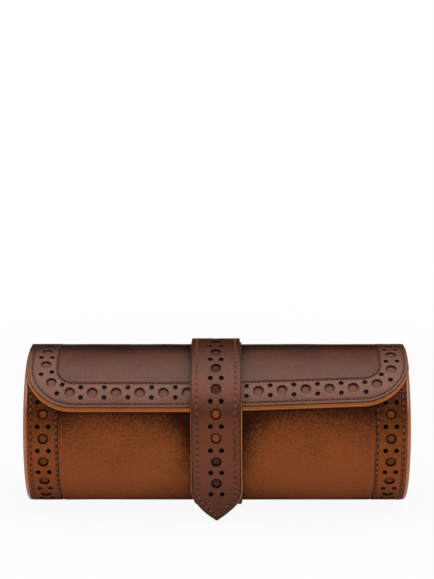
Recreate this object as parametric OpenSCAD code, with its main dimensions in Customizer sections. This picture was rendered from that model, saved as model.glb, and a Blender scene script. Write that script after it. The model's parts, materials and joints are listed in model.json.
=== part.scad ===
// Cylindrical leather watch roll: a stiff case for three watches, a flap over its top and a pointed strap.
// The case's axis lies along X, its front faces -Y, and the flat under the strap rests on z = 0.
// Angles are measured round that axis from the front, upwards, so the top is at 90 and the bottom at -90.

/* [Case] */
// Length of the case over its two rolled rims
case_length = 204; // [170:1:245]
// Radius of the case leather
case_radius = 41; // [34:0.1:49.5]
// Angle of the front lip, where the opening starts
lip_angle = 42; // [35:1:55]
// Angle of the flap's hinge at the upper back, where the opening ends
hinge_angle = 150; // [130:1:160]
// Thickness of the case leather and its perforated side bands
leather_t = 1.2; // [0.8:0.1:1.6]
// Thickness of the leather that shows through the perforations
underlay_t = 0.8; // [0.5:0.1:1.2]
// Thickness of the stiffening board
board_t = 1.4; // [1:0.1:2]
// Thickness of the suede lining
suede_t = 0.6; // [0.4:0.1:1]
// Width of the rolled rim at each end
rim_w = 2.2; // [1.6:0.1:3.5]
// Thickness of the binding on the front lip
binding_t = 1.1; // [0.6:0.1:2]

/* [Side bands] */
// Width of each perforated side band
band_w = 16.2; // [12:0.1:22]
// Distance from the case's end to the line of holes
band_hole_inset = 10.5; // [8:0.1:14]
// Distance round the case between large holes
band_pitch = 13; // [10:0.1:18]
// Angle of the first large hole
band_first_hole = 25; // [15:1:30]

/* [Perforation] */
// Diameter of a large hole
hole_d = 5.4; // [3:0.1:7]
// Diameter of a small hole
pip_d = 2.4; // [1.2:0.1:3]
// Distance between the two small holes of a pair
pip_gap = 5.8; // [4:0.1:8]

/* [Flap] */
// Angle of the front edge of the flap's dark leather
flap_edge_angle = 29.4; // [20:0.1:33]
// How far the flap's leather stops short of each end of the case
flap_side_gap = 1.6; // [0.8:0.1:6]
// Corner radius of the flap's leather
flap_corner = 24; // [15:0.5:30]
// Thickness of the flap's top leather
flap_top_t = 0.85; // [0.6:0.05:1.4]
// Thickness of the leather under the flap's perforations
flap_underlay_t = 0.45; // [0.3:0.05:1]
// Thickness of the flap's tan lining
flap_lining_t = 1; // [0.6:0.1:1.6]
// How far the lining shows beyond the front edge
lining_front_lip = 2.2; // [0.5:0.1:4]
// How far the lining shows beyond each side edge
lining_side_lip = 0.8; // [0.2:0.1:1.2]
// Width of the flap's perforated border
border_w = 15.3; // [12:0.1:20]
// Corner radius of the border's inner edge
border_corner = 8; // [4:0.5:12]
// Distance from the flap's edge to the line of holes
border_hole_inset = 8.6; // [6:0.1:12]
// Distance between large holes along the border
border_pitch = 12.47; // [10:0.01:18]
// Place of the large hole nearest the middle of the front edge
border_phase = -3.2; // [-6:0.1:6]
// Length of the flap's soft leather on each side of the hinge line
hinge_reach = 3; // [2:0.1:5]

/* [Strap] */
// Width of the strap
strap_w = 26; // [20:0.5:34]
// Sideways offset of the strap
strap_x = -0.6; // [-5:0.1:5]
// Thickness of the strap's top leather
strap_top_t = 1.2; // [0.8:0.1:1.8]
// Thickness of the strap's core
strap_core_t = 0.8; // [0.5:0.1:1.4]
// Thickness of the strap's tan lining
strap_lining_t = 0.7; // [0.4:0.1:1.2]
// How far the lining shows beyond each side of the strap
strap_lining_lip = 0.3; // [0:0.1:0.8]
// Thickness of the under-strap's top leather
under_top_t = 1.2; // [1:0.1:1.8]
// Thickness of the under-strap's core
under_core_t = 1.1; // [0.6:0.1:1.6]
// Depth of the flat that the roll rests on
base_flat = 0.7; // [0.3:0.05:0.9]
// Angle at which the free tail starts, at the flap's edge
tail_joint_angle = 29.2; // [27:0.1:34]
// Angle at which the tail leaves the case and hangs straight
tail_leave_angle = -5; // [-12:0.5:5]
// Height of the tail's point above the floor
tip_lift = 1.96; // [0.5:0.01:6]
// Length of the tail's pointed tip
tip_length = 18; // [12:0.5:24]
// Distance between large holes along the strap
strap_pitch = 12.85; // [10:0.05:18]
// Distance from the tail's joint to its first large hole
tail_first_hole = 3.9; // [3.2:0.1:5]
// Distance from where the tail clears the under-strap down to the under-strap's front end
under_front_gap = 1; // [0.5:0.1:10]
// Distance from the under-strap's back end to its first large hole
under_hole_inset = 9; // [7:0.5:12]
// Length of the strap's soft bend above the hinge line
strap_bend_up = 7.5; // [5:0.5:10]
// Length of the strap's soft bend below the hinge line, where it laps the under-strap
strap_bend_down = 12; // [10.5:0.5:14]
// Diameter of the closing magnet in the tail
magnet_d = 10; // [6:0.5:14]
// Diameter of the steel keeper under the case leather
keeper_d = 12; // [8:0.5:16]
// Distance of the magnet below the place where the tail leaves the case
magnet_drop = 8; // [6:0.5:14]

/* [Interior] */
// Diameter of a cushion
cushion_d = 54; // [42:0.5:58]
// Radius of a cushion's rounded ends
cushion_round = 8; // [4:0.5:12]
// Thickness of a cushion's suede cover
cover_t = 1.2; // [0.8:0.1:2]
// Room at each end of a cushion
cushion_end_gap = 1.5; // [0.5:0.1:4]
// Thickness of a divider over its suede
divider_t = 2.8; // [2:0.1:5]
// Height of the dividers' top edge above the case's axis
divider_top = 22; // [5:1:24]
// Thickness of the board in each end
end_board_t = 1.9; // [1.2:0.1:3]
// Thickness of the leather on each end
end_leather_t = 1.3; // [0.8:0.1:2]

/* [Hidden] */
$fn = 96;

// Room between glued layers, and between pieces that move past each other
seam = 0.05;
clearance = 0.3;
// Compartments between the two dividers and the ends, with one watch cushion in each
compartments = 3;
// Straight stretch between a rim's round and the case's layers
rim_land = 0.2;
// How far a rim reaches inwards past the underlay
rim_reach = 0.4;
// Angle by which a sheet of the flap is drawn past its edge before the edge is cut
edge_spare = 2;
// Flat steps in the tail's bend round the case
bend_steps = 12;
// How far the flap's under-leather stops short of the edge that is turned over it
skive = 0.4;
// How far a round corner's arc crosses the two straight edges that it joins
corner_bite = 0.05;
// How far a cutter reaches past what it cuts
over = 3;

// Radii of the case's layers, from the outside in
panel_r = case_radius - leather_t;
underlay_r = panel_r - underlay_t;
board_r = underlay_r - board_t;
inner_r = board_r - suede_t;

// Places along X: the case's layers end inside the rims, the end discs stand within them
rim_in_r = underlay_r - rim_reach;
half_length = case_length / 2;
body_half = half_length - rim_w;
end_board_x = body_half - end_board_t;
end_lining_x = end_board_x - suede_t;
band_x = half_length - rim_w - band_w;
hinge_gap = arc_angle(hinge_reach, case_radius);
case_back_angle = hinge_angle + hinge_gap - 360;

// Radii of the flap's layers, from the inside out
flap_r = case_radius + clearance;
flap_underlay_r = flap_r + flap_lining_t + seam;
flap_top_r = flap_underlay_r + flap_underlay_t + seam;
flap_out_r = flap_top_r + flap_top_t;
flap_half = half_length - flap_side_gap;
flap_back_angle = hinge_angle - hinge_gap;
border_hole_corner = flap_corner - border_hole_inset;
border_straight = flap_half - flap_corner;
border_hole_room = border_straight + border_hole_corner * PI / 2
    + (flap_back_angle - flap_edge_angle) * PI / 180 * flap_out_r - flap_corner - hole_d;

// Radii of the strap's layers over the flap, from the inside out
strap_r = flap_out_r + clearance;
strap_core_r = strap_r + strap_lining_t + seam;
strap_top_r = strap_core_r + strap_core_t + seam;
strap_out_r = strap_top_r + strap_top_t;
strap_step = arc_angle(strap_pitch, strap_out_r);
strap_back_angle = hinge_angle - arc_angle(strap_bend_up, case_radius);
upper_first_angle = tail_joint_angle + arc_angle(strap_pitch - tail_first_hole, strap_out_r);

// Radii of the tail where it lies on the case below the flap, from the inside out
tail_r = case_radius + clearance;
tail_core_r = tail_r + strap_lining_t + seam;
tail_top_r = tail_core_r + strap_core_t + seam;
tail_out_r = tail_top_r + strap_top_t;

// The tail slopes down over the flap's edge to where it touches the case, then follows it
touch_angle = tail_joint_angle - acos(tail_r / strap_r);
tail_slope = tail_out_r * tan(tail_joint_angle - touch_angle);
tail_arc = (touch_angle - tail_leave_angle) * PI / 180 * tail_out_r;
tip_radius = (pow(strap_w / 2, 2) + pow(tip_length, 2)) / strap_w;

// The under-strap lies on the case, and the part stands on a flat cut across it
under_core_r = case_radius + seam;
under_top_r = under_core_r + under_core_t + seam;
under_out_r = under_top_r + under_top_t;
axis_z = under_out_r - base_flat;
under_back_angle = hinge_angle + arc_angle(strap_bend_up, case_radius) - 360;
under_front_angle = tail_leave_angle - acos(tail_r / (under_out_r + clearance))
    - arc_angle(under_front_gap, case_radius);
keeper_angle = tail_leave_angle - arc_angle(magnet_drop, tail_out_r);

// The tail's straight stretch ends at the height of its point
tail_straight = (axis_z + tail_out_r * sin(tail_leave_angle) - tip_lift) / cos(tail_leave_angle);

// Cushions share the room between the end linings and the dividers
compartment = (2 * end_lining_x - (compartments - 1) * divider_t) / compartments;
divider_x = (compartment + divider_t) / 2;
cushion_step = compartment + divider_t;
cushion_length = compartment - 2 * cushion_end_gap;
cushion_z = cushion_d / 2 + clearance - inner_r;

// The angle that a length of arc takes at a radius
function arc_angle(length, radius) = length / radius * 180 / PI;

// Place across the flap at distance s along the border's hole line from the middle of the front edge,
// moved outwards by off: [x, distance back from the front hole line]
function border_place(s, off) =
    let (side = s < 0 ? -1 : 1, past = abs(s) - border_straight, turn = border_hole_corner * PI / 2)
    past <= 0 ? [s, -off]
    : past < turn ? let (a = past / border_hole_corner * 180 / PI, r = border_hole_corner + off)
        [side * (border_straight + r * sin(a)), border_hole_corner - r * cos(a)]
    : [side * (border_straight + border_hole_corner + off), border_hole_corner + past - turn];

// Lays the case's axis along X: local x points out at angle 0, and local z points along -X
module around_axis() {
    translate([0, 0, axis_z]) rotate([90, 0, -90]) children();
}

// A layer of the roll between two radii, two angles and two places along X
module layer(r_in, r_out, from, to, x_from, x_to) {
    around_axis() rotate([0, 0, from]) rotate_extrude(angle = to - from)
        translate([r_in, -x_to]) square([r_out - r_in, x_to - x_from]);
}

// A disc across the case, from radius 0
module disc(radius, x_from, x_to) {
    around_axis() translate([0, 0, -x_to]) cylinder(r = radius, h = x_to - x_from);
}

// A cutter for a hole that points at the axis
module radial_hole(angle, x, d) {
    around_axis() rotate([0, 0, angle]) translate([case_radius - over, 0, -x])
        rotate([0, 90, 0]) cylinder(d = d, h = 3 * over);
}

// A large hole and the pair of small ones half a pitch on, across the line that they follow
module perforation(angle, step, x) {
    radial_hole(angle, x, hole_d);
    for (side = [-1, 1]) radial_hole(angle + step / 2, x + side * pip_gap / 2, pip_d);
}

// Case

module case_board() {
    color([0.55, 0.5, 0.42]) layer(board_r + seam, underlay_r - seam, case_back_angle, lip_angle,
        -body_half, body_half);
}

module case_underlay() {
    color([0.5, 0.27, 0.12]) difference() {
        layer(underlay_r, panel_r - seam, case_back_angle, lip_angle, -body_half, body_half);
        radial_hole(keeper_angle, strap_x, keeper_d + 2 * seam);
    }
}

// Steel disc in the underlay's pocket, behind the tail's magnet
module strap_keeper() {
    color([0.6, 0.6, 0.62]) intersection() {
        layer(underlay_r, panel_r - seam, case_back_angle, lip_angle, -body_half, body_half);
        radial_hole(keeper_angle, strap_x, keeper_d);
    }
}

module case_panel() {
    color([0.47, 0.24, 0.12]) layer(panel_r, case_radius, case_back_angle, lip_angle,
        -band_x + seam, band_x - seam);
}

module side_band(side) {
    step = arc_angle(band_pitch, case_radius);
    count = floor((band_first_hole - case_back_angle - step / 2) / step);
    x_mid = side * (body_half - band_w / 2);
    color([0.44, 0.22, 0.1]) difference() {
        layer(panel_r, case_radius, case_back_angle, lip_angle, x_mid - band_w / 2, x_mid + band_w / 2);
        for (k = [0 : count - 1])
            perforation(band_first_hole - k * step, step, side * (half_length - band_hole_inset));
    }
}

module side_band_left() { side_band(-1); }
module side_band_right() { side_band(1); }

module case_lining() {
    color([0.62, 0.44, 0.28]) layer(inner_r, board_r, case_back_angle, lip_angle,
        -end_board_x, end_board_x);
}

module lip_binding() {
    gap = arc_angle(seam, case_radius);
    color([0.4, 0.2, 0.09]) layer(board_r + seam, case_radius, lip_angle + gap,
        lip_angle + gap + arc_angle(binding_t, case_radius), -body_half + seam, body_half - seam);
}

// Ends

module rim(side) {
    round_r = rim_w - rim_land;
    color([0.4, 0.2, 0.09]) around_axis() rotate([0, side * -90 + 90, 0])
        rotate_extrude() translate([0, -half_length]) {
            translate([rim_in_r, round_r]) square([case_radius - rim_in_r, rim_land]);
            intersection() {
                translate([rim_in_r, 0]) square([case_radius - rim_in_r, rim_w]);
                union() {
                    translate([case_radius - round_r, round_r]) circle(r = round_r);
                    translate([rim_in_r, 0]) square([case_radius - round_r - rim_in_r, rim_w]);
                }
            }
        }
}

module rim_left() { rim(-1); }
module rim_right() { rim(1); }

// A disc of an end, by its distances from the middle of the case
module end_disc(side, radius, near, far) {
    disc(radius, min(side * near, side * far), max(side * near, side * far));
}

module end_panel(side) {
    color([0.36, 0.18, 0.09]) end_disc(side, rim_in_r - seam, body_half + seam,
        body_half + seam + end_leather_t);
}

module end_panel_left() { end_panel(-1); }
module end_panel_right() { end_panel(1); }

module end_board(side) {
    color([0.55, 0.5, 0.42]) end_disc(side, board_r, end_board_x + seam, body_half);
}

module end_board_left() { end_board(-1); }
module end_board_right() { end_board(1); }

module end_lining(side) {
    color([0.62, 0.44, 0.28]) end_disc(side, inner_r - seam, end_lining_x, end_board_x);
}

module end_lining_left() { end_lining(-1); }
module end_lining_right() { end_lining(1); }

// Dividers

module divider_shape(side, thickness, top) {
    reach = 2 * case_radius;
    x_mid = side * divider_x;
    intersection() {
        disc(inner_r - seam, x_mid - thickness / 2, x_mid + thickness / 2);
        translate([x_mid - reach / 2, -reach / 2, axis_z + top - reach]) cube(reach);
    }
}

module divider_board(side) {
    color([0.55, 0.5, 0.42]) divider_shape(side, divider_t - 2 * suede_t - 2 * seam,
        divider_top - suede_t - seam);
}

module divider_board_left() { divider_board(-1); }
module divider_board_right() { divider_board(1); }

module divider_cover(side) {
    color([0.62, 0.44, 0.28]) difference() {
        divider_shape(side, divider_t, divider_top);
        divider_shape(side, divider_t - 2 * suede_t, divider_top - suede_t);
    }
}

module divider_cover_left() { divider_cover(-1); }
module divider_cover_right() { divider_cover(1); }

// Under-strap, which goes from behind the tail's tip under the case and up its back

module under_layer(r_in, r_out, lip) {
    layer(r_in, r_out, under_back_angle, under_front_angle,
        strap_x - strap_w / 2 - lip, strap_x + strap_w / 2 + lip);
}

module under_strap() {
    reach = 2 * case_radius;
    first = under_back_angle + arc_angle(under_hole_inset, under_out_r);
    count = floor((-90 - strap_step - first) / strap_step) + 1;
    color([0.34, 0.17, 0.09]) difference() {
        under_layer(under_top_r, under_out_r, 0);
        translate([-reach / 2, -reach / 2, -reach]) cube(reach);
        for (k = [0 : count - 1]) perforation(first + k * strap_step, strap_step, strap_x);
    }
}

module under_strap_core() {
    color([0.6, 0.34, 0.15]) under_layer(under_core_r, under_top_r - seam, 0);
}

// Soft leather that bends where the flap and its strap turn back

module flap_hinge() {
    gap = arc_angle(seam, case_radius);
    color([0.36, 0.18, 0.09]) layer(case_radius + seam, flap_r + flap_lining_t, flap_back_angle + gap,
        under_back_angle + 360 - gap, -flap_half, flap_half);
}

module strap_hinge() {
    gap = arc_angle(seam, case_radius);
    inside = max(under_out_r, flap_r + flap_lining_t) + seam;
    color([0.34, 0.17, 0.09]) difference() {
        layer(inside, strap_out_r - strap_lining_t, strap_back_angle + gap,
            hinge_angle + arc_angle(strap_bend_down, case_radius),
            strap_x - strap_w / 2, strap_x + strap_w / 2);
        layer(flap_r, flap_out_r + seam, strap_back_angle, flap_back_angle + gap,
            -flap_half, flap_half);
    }
}

// Flap

// A sheet of the flap, with two round front corners
module flap_sheet(r_in, r_out, edge_angle, half_w, corner, back_angle = flap_back_angle) {
    r_mid = (r_in + r_out) / 2;
    half_turn = arc_angle(corner, r_mid) / 2;
    edge_y = -r_mid * sin(half_turn);
    difference() {
        layer(r_in, r_out, edge_angle - edge_spare, back_angle, -half_w, half_w);
        around_axis() rotate([0, 0, edge_angle + half_turn]) translate([r_in - over, edge_y, 0]) {
            translate([0, -3 * over, -half_w - over]) cube([3 * over, 3 * over, 2 * (half_w + over)]);
            for (side = [-1, 1]) difference() {
                translate([0, -over, side > 0 ? half_w - corner : -half_w - over])
                    cube([3 * over, corner + over, corner + over]);
                translate([-over, corner - corner_bite, side * (half_w - corner + corner_bite)])
                    rotate([0, 90, 0]) cylinder(r = corner, h = 5 * over);
            }
        }
    }
}

module flap_lining() {
    color([0.72, 0.42, 0.2]) flap_sheet(flap_r, flap_r + flap_lining_t,
        flap_edge_angle - arc_angle(lining_front_lip, flap_out_r),
        flap_half + lining_side_lip, flap_corner + lining_side_lip);
}

module flap_underlay() {
    color([0.45, 0.25, 0.14]) flap_sheet(flap_underlay_r, flap_underlay_r + flap_underlay_t,
        flap_edge_angle + arc_angle(skive, flap_out_r), flap_half - skive, flap_corner - skive);
}

module flap_panel() {
    inset = border_w + seam;
    edge_angle = flap_edge_angle + arc_angle(inset, flap_out_r);
    color([0.34, 0.2, 0.15]) flap_sheet(flap_top_r, flap_out_r, edge_angle, flap_half - inset, border_corner);
}

module flap_border() {
    count = floor(border_hole_room / border_pitch);
    color([0.31, 0.18, 0.13]) difference() {
        flap_sheet(flap_top_r, flap_out_r, flap_edge_angle, flap_half, flap_corner);
        flap_sheet(flap_top_r - over, flap_out_r + over, flap_edge_angle + arc_angle(border_w, flap_out_r),
            flap_half - border_w, border_corner, flap_back_angle + over);
        for (k = [-count : count]) {
            border_hole(border_phase + k * border_pitch, 0, hole_d);
            for (off = [-pip_gap / 2, pip_gap / 2])
                border_hole(border_phase + (k + 0.5) * border_pitch, off, pip_d);
        }
    }
}

// A hole of the border, where the line is still short of the hinge
module border_hole(s, off, d) {
    place = border_place(s, off);
    angle = flap_edge_angle + arc_angle(border_hole_inset + place[1], flap_out_r);
    if (abs(s) < border_hole_room) radial_hole(angle, place[0], d);
}

// Strap over the flap

module upper_layer(r_in, r_out, lip) {
    layer(r_in, r_out, tail_joint_angle, strap_back_angle,
        strap_x - strap_w / 2 - lip, strap_x + strap_w / 2 + lip);
}

module strap_upper() {
    count = floor((strap_back_angle - upper_first_angle) / strap_step - 0.5);
    color([0.33, 0.18, 0.12]) difference() {
        upper_layer(strap_top_r, strap_out_r, 0);
        for (k = [0 : count]) perforation(upper_first_angle + k * strap_step, -strap_step, strap_x);
    }
}

module strap_upper_core() {
    color([0.5, 0.27, 0.12]) upper_layer(strap_core_r, strap_top_r - seam, 0);
}

module strap_upper_lining() {
    color([0.72, 0.42, 0.2]) upper_layer(strap_r, strap_core_r - seam, strap_lining_lip);
}

// Tail of the strap: down over the flap's edge, round the case's front, then straight to a pointed tip

// Local frame of a straight stretch of the tail: x out of the strap, y up along it, z along -X
module tail_frame(angle) {
    around_axis() rotate([0, 0, angle]) translate([0, 0, -strap_x]) children();
}

// Side line of the tail at a radius, from its joint down to its tip, as points out and up from the axis
function tail_line(r, length) =
    let (top = tail_joint_angle - arc_angle(clearance, strap_out_r), low = tail_leave_angle)
    concat(
        [r / cos(top - touch_angle) * [cos(top), sin(top)]],
        [for (k = [0 : bend_steps])
            let (a = touch_angle + (low - touch_angle) * k / bend_steps) r * [cos(a), sin(a)]],
        [r * [cos(low), sin(low)] + length * [sin(low), -cos(low)]]);

function reversed(points) = [for (i = [len(points) - 1 : -1 : 0]) points[i]];

module tail_layer(r_in, r_out, lip) {
    half_w = strap_w / 2 + lip;
    length = tail_straight + lip;
    difference() {
        around_axis() translate([0, 0, -strap_x - half_w]) linear_extrude(2 * half_w)
            polygon(concat(tail_line(r_in, length), reversed(tail_line(r_out, length))));
        tail_frame(tail_leave_angle) difference() {
            translate([r_in - over, -length - over, -half_w - over])
                cube([3 * over, tip_length + lip + over, 2 * (half_w + over)]);
            tip_outline(r_in - 2 * over, lip);
        }
    }
}

// What lies inside both arcs of the pointed tip
module tip_outline(x, lip) {
    intersection_for (side = [-1, 1])
        translate([x, tip_length - tail_straight, side * (tip_radius - strap_w / 2)])
            rotate([0, 90, 0]) cylinder(r = tip_radius + lip, h = 5 * over);
}

// A hole at distance s along the tail from its joint; one that crosses the slope's end is square to the slope
module tail_hole(s, off, d) {
    past = s - tail_slope;
    on_slope = past < hole_d / 2;
    if (!on_slope && past < tail_arc)
        radial_hole(touch_angle - arc_angle(past, tail_out_r), strap_x + off, d);
    else
        tail_frame(on_slope ? touch_angle : tail_leave_angle)
            translate([tail_top_r - over, on_slope ? -past : tail_arc - past, off])
                rotate([0, 90, 0]) cylinder(d = d, h = 3 * over);
}

module strap_tail() {
    room = tail_slope + tail_arc + tail_straight - tip_length - tail_first_hole;
    color([0.31, 0.16, 0.09]) difference() {
        tail_layer(tail_top_r, tail_out_r, 0);
        for (k = [0 : floor(room / strap_pitch)]) {
            tail_hole(tail_first_hole + k * strap_pitch, 0, hole_d);
            for (off = [-pip_gap / 2, pip_gap / 2])
                tail_hole(tail_first_hole + (k + 0.5) * strap_pitch, off, pip_d);
        }
    }
}

// The magnet's disc, which the core's pocket holds
module magnet_disc(d) {
    tail_frame(tail_leave_angle) translate([tail_core_r, -magnet_drop, 0]) rotate([0, 90, 0])
        cylinder(d = d, h = strap_core_t);
}

module strap_tail_core() {
    color([0.5, 0.27, 0.12]) difference() {
        tail_layer(tail_core_r, tail_top_r - seam, 0);
        magnet_disc(magnet_d + 2 * seam);
    }
}

module strap_tail_lining() {
    color([0.72, 0.42, 0.2]) tail_layer(tail_r, tail_core_r - seam, strap_lining_lip);
}

module strap_magnet() {
    color([0.6, 0.6, 0.62]) magnet_disc(magnet_d);
}

// Watch cushions

// A pillow along X with rounded ends, grown by skin
module pillow(place, skin) {
    radius = cushion_d / 2 + skin;
    half = cushion_length / 2 + skin;
    corner = cushion_round + skin;
    translate([place * cushion_step, 0, axis_z + cushion_z]) rotate([0, 90, 0]) rotate_extrude() {
        translate([0, corner - half]) square([radius, 2 * (half - corner)]);
        translate([0, -half]) square([radius - corner, 2 * half]);
        for (end = [-1, 1]) translate([radius - corner, end * (half - corner)]) circle(r = corner);
    }
}

module cushion_cover(place) {
    color([0.7, 0.52, 0.34]) difference() {
        pillow(place, 0);
        pillow(place, -cover_t);
    }
}

module cushion_cover_left() { cushion_cover(-1); }
module cushion_cover_middle() { cushion_cover(0); }
module cushion_cover_right() { cushion_cover(1); }

module cushion_core(place) {
    color([0.85, 0.82, 0.74]) pillow(place, -cover_t - seam);
}

module cushion_core_left() { cushion_core(-1); }
module cushion_core_middle() { cushion_core(0); }
module cushion_core_right() { cushion_core(1); }

case_board();
case_underlay();
case_panel();
side_band_left();
side_band_right();
case_lining();
lip_binding();
rim_left();
rim_right();
end_panel_left();
end_panel_right();
end_board_left();
end_board_right();
end_lining_left();
end_lining_right();
divider_board_left();
divider_board_right();
divider_cover_left();
divider_cover_right();
under_strap();
under_strap_core();
strap_keeper();
flap_hinge();
strap_hinge();
flap_lining();
flap_underlay();
flap_panel();
flap_border();
strap_upper();
strap_upper_core();
strap_upper_lining();
strap_tail();
strap_tail_core();
strap_tail_lining();
strap_magnet();
cushion_cover_left();
cushion_cover_middle();
cushion_cover_right();
cushion_core_left();
cushion_core_middle();
cushion_core_right();
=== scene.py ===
import json
import math

import bpy
import numpy as np
from mathutils import Matrix, Vector, noise
from mathutils.geometry import delaunay_2d_cdt
from mathutils.kdtree import KDTree


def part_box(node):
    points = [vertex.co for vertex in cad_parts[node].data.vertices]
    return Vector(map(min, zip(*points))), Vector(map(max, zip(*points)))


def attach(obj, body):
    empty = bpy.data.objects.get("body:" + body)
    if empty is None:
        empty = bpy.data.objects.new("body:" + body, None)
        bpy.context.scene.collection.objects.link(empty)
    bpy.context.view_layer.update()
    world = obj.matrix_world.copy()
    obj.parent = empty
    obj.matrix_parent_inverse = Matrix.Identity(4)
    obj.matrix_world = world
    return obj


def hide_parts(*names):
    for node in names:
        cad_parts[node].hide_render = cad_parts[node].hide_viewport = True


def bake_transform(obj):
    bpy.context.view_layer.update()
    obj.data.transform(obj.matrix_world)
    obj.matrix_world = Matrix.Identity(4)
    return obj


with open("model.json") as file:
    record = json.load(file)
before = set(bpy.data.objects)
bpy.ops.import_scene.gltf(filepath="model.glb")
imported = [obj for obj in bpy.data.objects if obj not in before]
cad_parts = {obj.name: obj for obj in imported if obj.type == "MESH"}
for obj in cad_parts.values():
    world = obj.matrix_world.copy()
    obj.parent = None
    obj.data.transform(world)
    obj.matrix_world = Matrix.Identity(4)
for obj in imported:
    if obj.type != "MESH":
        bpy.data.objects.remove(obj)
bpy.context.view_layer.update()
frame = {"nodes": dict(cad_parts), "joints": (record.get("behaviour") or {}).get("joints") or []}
print("frame loaded")

# Flat patterns are drawn in millimetres: u across the roll, v along the leather, h up from its flesh side.
# Angles turn round the roll's axis: 0 faces the front, 90 is up, 180 faces the back.


def boxOf(node):
    low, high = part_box(node)
    return np.array(low) * 1000, np.array(high) * 1000


rimLow, rimHigh = boxOf("rim_right")
strapLow, strapHigh = boxOf("strap_upper")
axisZ = (rimLow[2] + rimHigh[2]) / 2
caseR = (rimHigh[1] - rimLow[1]) / 2
bandLow, bandHigh = boxOf("side_band_right")
flapHigh = boxOf("flap_border")[1]
flapR = flapHigh[2] - axisZ
strapR = strapHigh[2] - axisZ
strapX = (strapLow[0] + strapHigh[0]) / 2
strapHalf = (strapHigh[0] - strapLow[0]) / 2
joints = {joint["name"]: joint for joint in frame["joints"]}

lay = {                       # how the leathers are cut and laid, in millimetres and degrees
    "lipAngle": 42, "hingeAngle": 154.2, "flapEdge": 29.4, "flapBack": 145.8,
    "strapBackSeam": 125, "strapBackEnd": 139.5, "underEnd": -25.5, "hingeFoot": 159.8,
}


class Course:
    # the inner face of a leather in cross-section, walked so that the outside is on its right hand
    def __init__(self, points):
        self.points = np.array(points, float)
        steps = np.diff(self.points, axis=0)
        self.s = np.concatenate([[0], np.cumsum(np.hypot(*steps.T))])
        self.length = self.s[-1]
        way = np.gradient(self.points, self.s, axis=0)
        way /= np.hypot(*way.T)[:, None]
        self.out = np.stack([way[:, 1], -way[:, 0]], 1)

    def at(self, s, h):
        y, z = (np.interp(s, self.s, self.points[:, i]) for i in (0, 1))
        oy, oz = (np.interp(s, self.s, self.out[:, i]) for i in (0, 1))
        over = np.where(s < 0, s, np.where(s > self.length, s - self.length, 0))
        tip = np.where(s < 0, 0, -1)
        ey, ez = self.out[tip, 0], self.out[tip, 1]
        return y + oy * h - ez * over, z + oz * h + ey * over


def polar(r, angle):
    a = np.radians(angle)
    return np.stack([-r * np.cos(a), r * np.sin(a)], -1)


def arcCourse(r, start, end):
    angles = np.arange(start, end, -.4).tolist() + [end]
    return Course(polar(r, np.array(angles)))


def laid(course, lift=0, zero=0, way=1, skew=None, shift=0):
    # turns a flat pattern into the shape the leather has on the roll
    def place(u, v, h):
        if skew is not None:
            v = v + skew(u, v)
        y, z = course.at(zero + way * v, h + lift)
        aside = shift(u, v) if callable(shift) else shift
        return np.stack([u + aside, y, np.maximum(z + axisZ, 0)], -1)
    return place


def evenly(line, step, closed=False):
    line = np.array(line)
    if closed:
        line = np.vstack([line, line[:1]])
    s = np.concatenate([[0], np.cumsum(np.hypot(*np.diff(line, axis=0).T))])
    count = max(2, int(round(s[-1] / step)))
    t = np.linspace(0, s[-1], count + 1)
    if closed:
        t = t[:-1]
    return np.stack([np.interp(t, s, line[:, 0]), np.interp(t, s, line[:, 1])], 1)


def inset(line, d, closed=False):
    if closed:
        way = np.roll(line, -1, 0) - np.roll(line, 1, 0)
    else:
        way = np.gradient(line, axis=0)
    way = way / np.maximum(np.hypot(*way.T), 1e-9)[:, None]
    return line + np.stack([-way[:, 1], way[:, 0]], 1) * d


def cornered(corners, step=1.1):
    # closed outline from (u, v, corner radius), walked with the leather on its left
    line = []
    count = len(corners)
    for i, (u, v, r) in enumerate(corners):
        here = np.array([u, v])
        before = np.array(corners[i - 1][:2]) - here
        after = np.array(corners[(i + 1) % count][:2]) - here
        before, after = before / np.hypot(*before), after / np.hypot(*after)
        half = math.acos(np.clip(before @ after, -1, 1)) / 2
        back = r / math.tan(half)
        middle = here + (before + after) / np.hypot(*(before + after)) * r / math.sin(half)
        start, end = here + before * back - middle, here + after * back - middle
        for t in np.linspace(0, 1, 2 + int(r / .8)):
            way = start * math.sin((1 - t) * (math.pi / 2 - half) * 2) + end * math.sin(t * (math.pi / 2 - half) * 2)
            way = way / max(math.sin((math.pi / 2 - half) * 2), 1e-9)
            line.append(middle + way)
    return evenly(line, step, True)


def circleOf(sides):
    turn = np.arange(sides) / sides * 2 * math.pi
    return np.stack([np.cos(turn), np.sin(turn)], 1)


def smooth(x, low, high):
    t = np.clip((x - low) / (high - low), 0, 1)
    return t * t * (3 - 2 * t)


def fading(away, dark, over):
    # a darkening, used for burnish and for painted shade, that fades out over a length or an angle
    return dark * np.exp(-np.maximum(away, 0) / over)


def nearest(points, targets):
    tree = KDTree(len(targets))
    for i, (u, v) in enumerate(targets):
        tree.insert((u, v, 0), i)
    tree.balance()
    return np.array([tree.find((u, v, 0))[2] for u, v in points])


def insideOf(points, loop):
    x, y = points[:, :1], points[:, 1:]
    ax, ay = loop[:, 0], loop[:, 1]
    bx, by = np.roll(ax, -1), np.roll(ay, -1)
    span = np.where(by == ay, 1e-12, by - ay)
    crossed = ((ay > y) != (by > y)) & (x < (bx - ax) * (y - ay) / span + ax)
    return crossed.sum(1) % 2 == 1


def wobble(u, v, scale, seed):
    return np.array([noise.noise(Vector((a * scale, b * scale, seed))) for a, b in zip(u, v)])


def netFaces(base, rows, columns, rowsClosed=False, columnsClosed=True):
    # the faces of a net of points, which come row after row and start at base
    faces = []
    for i in range(rows if rowsClosed else rows - 1):
        here, there = base + i * columns, base + (i + 1) % rows * columns
        for k in range(columns if columnsClosed else columns - 1):
            m = (k + 1) % columns
            faces.append((here + k, here + m, there + m, there + k))
    return faces


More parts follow.
